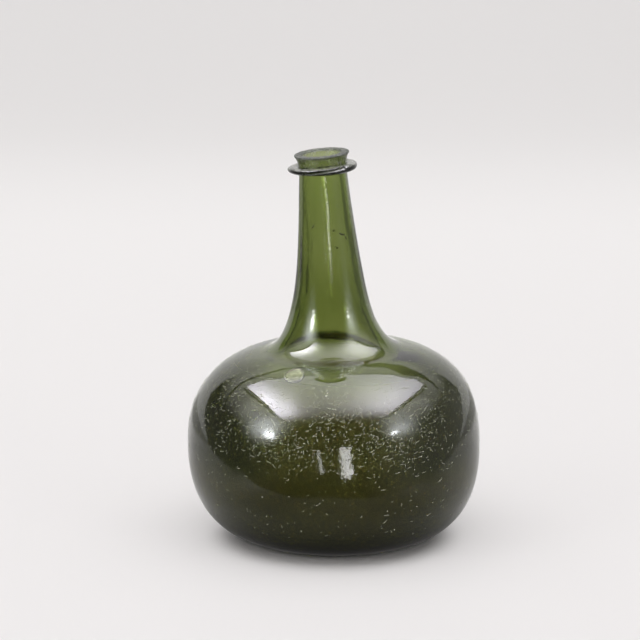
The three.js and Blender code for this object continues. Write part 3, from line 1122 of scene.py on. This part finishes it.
def scuff_tree():
    """Scatters specks, dashes and curls over a sheet, most of them level, densest on the shoulder."""
    tree, given = new_tree("Scuffs", Density="Float", Width="Float")
    position = result(tree, "GeometryNodeInputPosition")
    side, _, level = axes(tree, position)
    band = ramp(level, *SCUFF_LEVELS_BELOW) * ramp(level, *SCUFF_LEVELS_ABOVE)
    aside = ramp(abs(side), *SCUFF_SIDES, 1.0, 0.3)
    patch = ramp(clouds(tree, position, 70.0, 3.0), 0.36, 0.6, 0.25, 1.0)
    share = (band * (patch * aside)).scaled(1 - SCUFF_LEAST, SCUFF_LEAST)
    spots = add(tree, "GeometryNodeDistributePointsOnFaces", {
        "Mesh": given["Geometry"], "Density": share * given["Density"], "Seed": 11})
    section = result(tree, "GeometryNodeCurvePrimitiveCircle", {"Resolution": 3, "Radius": given["Width"]})
    shapes = add(tree, "GeometryNodeJoinGeometry")
    speck = result(tree, "GeometryNodeMeshIcoSphere", {"Radius": SPECK_RADIUS, "Subdivisions": 1})
    flat = result(tree, "GeometryNodeTransform", {"Geometry": speck, "Scale": (1, 1.4, 0.3)})
    feed(shapes.inputs[0], result(tree, "GeometryNodeGeometryToInstance", {0: flat}))
    for radius, sweep, corners in SCUFF_ARCS:
        arc = result(tree, "GeometryNodeCurveArc", {
            "Resolution": corners, "Radius": radius * MM, "Sweep Angle": math.radians(sweep)})
        tube = result(tree, "GeometryNodeCurveToMesh", {0: arc, 1: section, "Fill Caps": True})
        moved = result(tree, "GeometryNodeTransform", {
            "Geometry": tube, "Translation": (-radius * MM, 0, 0), "Scale": (1, 1, 0.4)})
        feed(shapes.inputs[0], result(tree, "GeometryNodeGeometryToInstance", {0: moved}))
    level_way = result(tree, "ShaderNodeVectorMath", {0: (0, 0, 1), 1: spots.outputs["Normal"]},
                       operation="CROSS_PRODUCT")
    laid = result(tree, "FunctionNodeAlignRotationToVector", {
        "Rotation": spots.outputs["Rotation"], "Vector": level_way}, axis="Y", pivot_axis="Z")
    stray = random_value(tree, -1, 1, 12) ** 3.0 * (math.pi / 2)
    spin = result(tree, "ShaderNodeCombineXYZ", {2: stray})
    turned = result(tree, "FunctionNodeRotateRotation", {0: laid, 1: spin}, rotation_space="LOCAL")
    placed = result(tree, "GeometryNodeInstanceOnPoints", {
        "Points": spots.outputs[0], "Instance": shapes.outputs[0], "Pick Instance": True,
        "Instance Index": random_value(tree, 0, len(SCUFF_ARCS), 13, "INT"), "Rotation": turned,
        "Scale": random_value(tree, 0.55, 1.3, 14)})
    close_tree(tree, placed, given["Material"])
    return tree


class BOTTLE_OT_scuffs(bpy.types.Operator):
    """Scratch the belly: fine curled scuffs where the bottle was handled"""

    bl_idname = "bottle.scuffs"
    bl_label = "Scuff the belly"

    def execute(self, context):
        finish = context.scene.bottle_finish
        sheet = outer_band("scuff_sheet", 12 * MM, 88 * MM, 60, 180)
        run_tree("scuffs", sheet, scuff_tree(), {
            "Density": finish.scuff_count, "Width": 0.1 * MM, "Material": scuff_glass()})
        return {"FINISHED"}


def seed_tree():
    """Scatters small gas seeds at random depths under a sheet."""
    tree, given = new_tree("Seeds", Density="Float", Least_depth="Float", Most_depth="Float")
    spots = add(tree, "GeometryNodeDistributePointsOnFaces", {
        "Mesh": given["Geometry"], "Density": given["Density"], "Seed": 21})
    share = random_value(tree, 0.0, 1.0, 22)
    depth = blend_values(share, given["Least depth"], given["Most depth"])
    inward = result(tree, "ShaderNodeVectorMath", {
        0: spots.outputs["Normal"], "Scale": depth * -1.0}, operation="SCALE")
    sunk = result(tree, "GeometryNodeSetPosition", {"Geometry": spots.outputs[0], "Offset": inward})
    ball = result(tree, "GeometryNodeMeshUVSphere", {"Segments": 7, "Rings": 5, "Radius": 1 * MM})
    placed = result(tree, "GeometryNodeInstanceOnPoints", {
        "Points": sunk, "Instance": ball, "Rotation": spots.outputs["Rotation"],
        "Scale": random_value(tree, *SEED_SCALES, 23, "FLOAT_VECTOR")})
    close_tree(tree, placed, given["Material"])
    return tree


class BOTTLE_OT_seeds(bpy.types.Operator):
    """Trap gas seeds in the wall"""

    bl_idname = "bottle.seeds"
    bl_label = "Add gas seeds"

    def execute(self, context):
        finish = context.scene.bottle_finish
        sheet = outer_band("seed_sheet", 8 * MM, 168 * MM, 90, 140)
        run_tree("seeds", sheet, seed_tree(), {
            "Density": finish.seed_count, "Least depth": 0.7 * MM, "Most depth": 2.8 * MM,
            "Material": seed_glass()})
        return {"FINISHED"}


class BOTTLE_OT_stones(bpy.types.Operator):
    """Trap dark stones and threads in the neck"""

    bl_idname = "bottle.stones"
    bl_label = "Add stones"

    def execute(self, context):
        points, faces = [], []
        rings, sides = 9, 10
        polar = np.linspace(0, math.pi, rings)[:, None]
        turns = round_turn(sides)
        for bearing, level, span, width, turn in STONES:
            point, normal, long_way, short_way = outer_spot(bearing, level, turn)
            middle = point - normal * (width * 0.5 + STONE_DEPTH)
            bow = 0.1 * span * np.cos(polar) ** 2
            grid = (middle + long_way * (np.cos(polar) * np.ones(sides))[..., None] * span / 2
                    + short_way * ((np.sin(polar) * np.cos(turns)) * width / 2 + bow)[..., None]
                    + normal * (np.sin(polar) * np.sin(turns))[..., None] * width / 2)
            offset = len(points)
            points += list(flat_rings(grid))
            faces += [tuple(corner + offset for corner in face) for face in turned_faces(rings, sides)]
        new_piece("stones", points, faces, stone_matter())
        return {"FINISHED"}


# Studio

def stage_mesh(name, points, faces, material, smooth=False):
    """A mesh of the studio, which isn't part of the bottle."""
    mesh = bpy.data.meshes.new(name)
    mesh.from_pydata(points, [], faces)
    if smooth:
        mesh.shade_smooth()
    mesh.materials.append(material)
    thing = bpy.data.objects.new(name, mesh)
    bpy.context.scene.collection.objects.link(thing)
    return thing


def floor_material(light):
    """Pale paper that keeps the bottle's shadow; mirrors show it dimmer near the bottle and to the front."""
    material, tree = new_material("studio_paper")
    point, side, depth, height = place(tree)
    aside = abs(side)
    reach = distance(side, depth)
    mirrored = in_mirror(tree)

    # What mirrors show: dim in front and close by, a dark wedge to each side, and the two lamps' pools
    level = ramp(depth, -0.10, 0.0, 0.36, 0.78) + ramp(depth, 0.04, 0.32, 0.0, 0.5)
    level = level * ramp(reach, 0.05, 0.085, 0.2, 1.0)
    spread = aside / highest(depth, 0.05)
    dim = ramp(spread, 0.35, 0.55) * ramp(reach, 0.3, 0.45)
    level = level * dim.scaled(-0.55, 1.0)
    left, right = (bell(side, middle, wide) * power for middle, wide, power in LAMP_POOLS)
    level = (left + right).scaled(bell(depth, *POOL_DEPTHS), level)

    # What the eye sees: even paper that glows a little, except where the bottle stands
    fall = ramp(depth, 0.0, 0.8, 0.96, 1.13) - ramp(depth, 0.75, 1.45, 0.0, 0.15)
    clear_of = distance(side, depth + 0.014)
    share = ramp(clear_of, 0.044, 0.064, 0.0, 0.5) + ramp(depth, 0.0, 1.1) * 0.2
    seen = highest(light_path(tree, "Is Camera Ray"), light_path(tree, "Is Transmission Ray"))
    share = highest(share * seen, mirrored)
    colour = blend_colours(clouds(tree, point, 1.5, 1.0), light.floor_colour,
                           [part * 0.985 for part in light.floor_colour])
    paper = surface(tree, colour, 0.55, {"Specular IOR Level": 0.2})
    glow = result(tree, "ShaderNodeEmission", {
        "Color": colour, "Strength": blend_values(mirrored, fall, level)})
    shown = mix_shaders(share, paper, glow)

    # Mirrors don't show the paper beyond the table's edge or up the backdrop
    edge = highest(aside.scaled(TABLE_EDGE_SLOPE, TABLE_FRONT), aside.scaled(TABLE_SPREAD, TABLE_CORNER))
    beyond = highest(maths("LESS_THAN", depth, edge), maths("GREATER_THAN", height, 0.0))
    clear = result(tree, "ShaderNodeBsdfTransparent")
    finish_material(tree, mix_shaders(beyond * mirrored, shown, clear))
    return material


def make_floor(light):
    """The floor, which sweeps up behind the bottle into a backdrop."""
    profile = [(-FLOOR_REACH, -FLOOR_GAP)]
    for turn in np.linspace(0, math.pi / 2, 24):
        profile.append((COVE_START + COVE_RADIUS * math.sin(turn),
                        COVE_RADIUS * (1 - math.cos(turn)) - FLOOR_GAP))
    profile.append((COVE_START + COVE_RADIUS, BACKDROP_TOP))
    points = [(x, y, z) for y, z in profile for x in (-FLOOR_REACH, FLOOR_REACH)]
    faces = [(2 * i, 2 * i + 1, 2 * i + 3, 2 * i + 2) for i in range(len(profile) - 1)]
    return stage_mesh("floor", points, faces, floor_material(light), smooth=True)


def glow_card(name, middle, across, up, emission, colour=(1, 1, 1, 1)):
    """A flat lamp face that only reflections show; emission gives its brightness and its cover."""
    material, tree = new_material(name)
    own = result(tree, "ShaderNodeUVMap", uv_map="face")
    strength, cover = emission(*axes(tree, own)[:2])
    glow = result(tree, "ShaderNodeEmission", {"Color": colour, "Strength": strength})
    clear = result(tree, "ShaderNodeBsdfTransparent")
    finish_material(tree, mix_shaders(cover * in_mirror(tree), clear, glow))
    material.cycles.emission_sampling = "NONE"
    middle, across, up = Vector(middle), Vector(across), Vector(up)
    signs = ((-1, -1), (1, -1), (1, 1), (-1, 1))
    corners = [middle + across * right + up * high for right, high in signs]
    card = stage_mesh(name, corners, [(0, 1, 2, 3)], material)
    layer = card.data.uv_layers.new(name="face")
    for corner, sign in zip(layer.data, signs):
        corner.uv = sign
    card.visible_camera = False
    card.visible_diffuse = False
    card.visible_shadow = False
    return card


def toward(azimuth, elevation, away=1.0):
    """A point seen from the belly at an azimuth from the front and an elevation, in degrees."""
    a, e = math.radians(azimuth), math.radians(elevation)
    return Vector((math.sin(a) * math.cos(e), -math.cos(a) * math.cos(e), math.sin(e))) * away


def lamp_card(name, azimuth, elevation, half_angle, emission):
    """A card that faces the belly, square to the line between them."""
    aim = toward(azimuth, elevation)
    across = aim.cross(Vector((0, 0, 1))).normalized() * math.tan(math.radians(half_angle))
    up = across.cross(aim).normalized() * math.tan(math.radians(half_angle))
    return glow_card(name, aim + Vector((0, 0, BELLY_LEVEL)), -across, up, emission, LAMP_COLOUR)


def softbox_glow(x, y):
    """Two bright lobes low at the left and right, faded out to the front, in a double frame line."""
    across = x * SOFTBOX_CARD
    back = y.scaled(SOFTBOX_DEPTH, SOFTBOX_MIDDLE)
    side = abs(across)
    rise = ramp(back, 0.65, -0.15, 0.28, 1.0) * ramp(back, -0.95, -0.32)
    left, right = (bell(across, middle, wide) * power for middle, wide, power in SOFTBOX_LOBES)
    face = (left + right).scaled(rise, ramp(back, -1.25, -0.2) * SOFTBOX_BASE)
    edges = [(ramp(side, *low), ramp(back, *high)) for low, high in zip(SOFTBOX_ACROSS, SOFTBOX_BACK)]
    (face_side, face_back), (inner_side, inner_back), (outer_side, outer_back) = edges
    inside = face_side * face_back
    line = outer_side * outer_back * highest(inner_side, inner_back)
    return face.scaled(inside, line * SOFTBOX_LINE), ramp(back, -1.3, -0.75)


def spot_glow(core, core_size, halo, aside, above, stretch, turn):
    """A bright oval core, which may sit off the middle, in a soft halo."""
    def emission(x, y):
        right, up = x - aside, y - above
        cosine, sine = math.cos(math.radians(turn)), math.sin(math.radians(turn))
        along = right.scaled(cosine / stretch, up * (sine / stretch))
        across = right.scaled(-sine, up * cosine)
        off = distance(along, across)
        inner = ramp(off, core_size * 1.5, core_size * 0.4)
        shine = ramp(off, core_size * 4.5, core_size) * halo
        outer = ramp(distance(x, y), 1.0, 0.0)
        return blend_values(inner, shine + halo, core), highest(inner, outer ** 1.4)
    return emission


def strip_glow(strength, lean, edge):
    """An upright strip with ragged edges and dull patches."""
    def emission(x, y):
        tree = x.socket.id_data
        spot = result(tree, "ShaderNodeCombineXYZ", {0: x, 1: y * 2.6, 2: lean})
        ragged = clouds(tree, spot, 2.2, 5.0, 0.7)
        patches = clouds(tree, spot, 3.2, 4.0)
        shifted = (ragged - 0.5).scaled(2.2, y.scaled(lean, x))
        inside = ramp(abs(shifted), edge + 0.07, edge - 0.05)
        ends = ramp(ragged.scaled(0.5, abs(y)), 1.2, 1.1)
        return ramp(patches, 0.42, 0.52, 0.35, 1.0) * strength, inside * ends
    return emission


def make_cards():
    """What the glass mirrors: the softbox, two lamps and two bright strips near the camera."""
    glow_card("softbox_face", (0, SOFTBOX_MIDDLE, SOFTBOX_HEIGHT + BELLY_LEVEL), (SOFTBOX_CARD, 0, 0),
              (0, SOFTBOX_DEPTH, 0), softbox_glow, (1, 0.96, 1.1, 1))
    for name, azimuth, elevation, half_angle, *spot in LAMP_FACES:
        lamp_card(name, azimuth, elevation, half_angle, spot_glow(*spot))
    for name, middle, half, low, high, *strip in STRIP_FACES:
        centre = toward(middle, (low + high) / 2, STRIP_DISTANCE)
        across = Vector((math.cos(math.radians(middle)), math.sin(math.radians(middle)), 0))
        tall = STRIP_DISTANCE * math.tan(math.radians((high - low) / 2))
        wide = STRIP_DISTANCE * math.tan(math.radians(half))
        glow_card(name, centre + Vector((0, 0, BELLY_LEVEL)), across * wide, Vector((0, 0, tall)),
                  strip_glow(*strip))


def make_world(light):
    """Pale to the camera and through glass; a dim room with a bright back and ceiling in mirrors."""
    world = bpy.data.worlds.new("studio_room")
    bpy.context.scene.world = world
    world.use_nodes = True
    tree = world.node_tree
    tree.nodes.clear()
    x, y, z = axes(tree, result(tree, "ShaderNodeTexCoord", output="Generated"))

    # A bright backdrop and ceiling
    leaning = result(tree, "ShaderNodeClamp", {0: z, 1: -0.1, 2: 0.2})
    backdrop = ramp(y - leaning, 0.53, 0.57, 0.0, 0.9)
    left = ramp(x, 0.05, -0.05)
    beside = ramp(y, 0.28, 0.0, 0.0, left.scaled(0.4, 1.2))
    ceiling = (beside + 1.25) * ramp(z, 0.30, 0.66) * ramp(y, -0.75, -0.35)
    room = highest(backdrop, ceiling)

    # A dark gap across the ceiling, which lifts in the middle and widens at the right
    overhead = highest(z, 0.05)
    slope_x = x / overhead
    slope_y = y / overhead
    lifted = ramp(abs(slope_x), 0.55, 0.1, 0.0, 0.4)
    off = abs(slope_y - (lifted + 0.95))
    leaf = ramp(slope_x, 1.0, 0.4) * ramp(slope_x, 0.0, 0.2, 0.0, 0.15)
    gap = ramp(off - (leaf + 0.03), 0.03, 0.0)
    room = room * gap.scaled(-0.85, 1.0)

    # A faint glow from both sides, stronger from the right
    sides = ramp(x, 0.3, 0.8).scaled(0.2, ramp(abs(x), 0.5, 0.9, 0.05, 0.17))
    mirrored = highest(room, sides)
    through = ramp(y, -0.3, 0.1, 0.0, 0.6) * ramp(abs(x), 0.85, 0.6) + 0.24
    strength = blend_values(light_path(tree, "Is Transmission Ray"), light.ambient, through)
    strength = blend_values(in_mirror(tree), strength, mirrored)
    strength = blend_values(light_path(tree, "Is Camera Ray"), strength, BACKDROP_BRIGHTNESS)
    glow = result(tree, "ShaderNodeBackground", {"Color": (1.0, 0.985, 0.98, 1), "Strength": strength})
    add(tree, "ShaderNodeOutputWorld", {0: glow})


def make_lamps(light):
    """The lamps that light the floor and the bottle; reflections show the cards instead."""
    for name, spot, wide, tall, power in (
            ("overhead_lamp", (0, 0.05, 1.05), 1.7, 1.15, light.overhead),
            ("left_lamp", toward(-57, 30, 1.3), 0.5, 0.5, 1.4),
            ("right_lamp", toward(49, 26, 1.3), 0.4, 0.4, 0.8)):
        data = bpy.data.lights.new(name, "AREA")
        data.shape = "RECTANGLE"
        data.size, data.size_y = wide, tall
        data.energy = power
        lamp = bpy.data.objects.new(name, data)
        lamp.location = spot
        aim = Vector((0, 0, LAMP_AIM_LEVEL)) - lamp.location
        lamp.rotation_euler = aim.to_track_quat("-Z", "Y").to_euler()
        lamp.visible_glossy = False
        lamp.visible_transmission = False
        lamp.visible_camera = False
        bpy.context.scene.collection.objects.link(lamp)


def make_camera():
    """The camera at the photograph's viewing angle."""
    data = bpy.data.cameras.new("camera")
    data.lens = CAMERA_LENS
    data.sensor_width = CAMERA_SENSOR
    camera = bpy.data.objects.new("camera", data)
    back = Vector((0, -math.cos(CAMERA_ELEVATION), math.sin(CAMERA_ELEVATION)))
    camera.location = CAMERA_TARGET + back * CAMERA_DISTANCE
    camera.rotation_euler = (math.pi / 2 - CAMERA_ELEVATION, 0, 0)
    bpy.context.scene.collection.objects.link(camera)
    bpy.context.scene.camera = camera


class BOTTLE_OT_stage(bpy.types.Operator):
    """Set up the floor, the light and the camera"""

    bl_idname = "bottle.stage"
    bl_label = "Set up the studio"

    def execute(self, context):
        light = context.scene.bottle_light
        context.scene.view_settings.view_transform = "Standard"
        make_camera()
        make_floor(light)
        make_world(light)
        make_lamps(light)
        make_cards()
        return {"FINISHED"}


class BOTTLE_PT_tools(bpy.types.Panel):
    """The bottle's steps, in order"""

    bl_label = "Blown bottle"
    bl_idname = "BOTTLE_PT_tools"
    bl_space_type = "VIEW_3D"
    bl_region_type = "UI"
    bl_category = "Bottle"

    def draw(self, context):
        scene = context.scene
        for group in (scene.bottle_form, scene.bottle_finish, scene.bottle_light):
            for name in group.__annotations__:
                self.layout.prop(group, name)
        for operator in OPERATORS:
            self.layout.operator(operator.bl_idname)


OPERATORS = (BOTTLE_OT_stage, BOTTLE_OT_body, BOTTLE_OT_rim, BOTTLE_OT_scar, BOTTLE_OT_scuffs,
             BOTTLE_OT_seeds, BOTTLE_OT_stones)
GROUPS = {"bottle_form": BottleForm, "bottle_finish": GlassFinish, "bottle_light": StudioLight}


def register():
    for group in GROUPS.values():
        bpy.utils.register_class(group)
    for name, group in GROUPS.items():
        setattr(bpy.types.Scene, name, bpy.props.PointerProperty(type=group))
    for operator in OPERATORS:
        bpy.utils.register_class(operator)
    bpy.utils.register_class(BOTTLE_PT_tools)


def unregister():
    bpy.utils.unregister_class(BOTTLE_PT_tools)
    for operator in reversed(OPERATORS):
        bpy.utils.unregister_class(operator)
    for name in GROUPS:
        delattr(bpy.types.Scene, name)
    for group in GROUPS.values():
        bpy.utils.unregister_class(group)


def main():
    register()
    bpy.ops.bottle.stage()
    bpy.ops.bottle.body()
    bpy.ops.bottle.rim()
    bpy.ops.bottle.scar()
    bpy.ops.bottle.scuffs()
    bpy.ops.bottle.seeds()
    bpy.ops.bottle.stones()


if __name__ == "__main__":
    main()
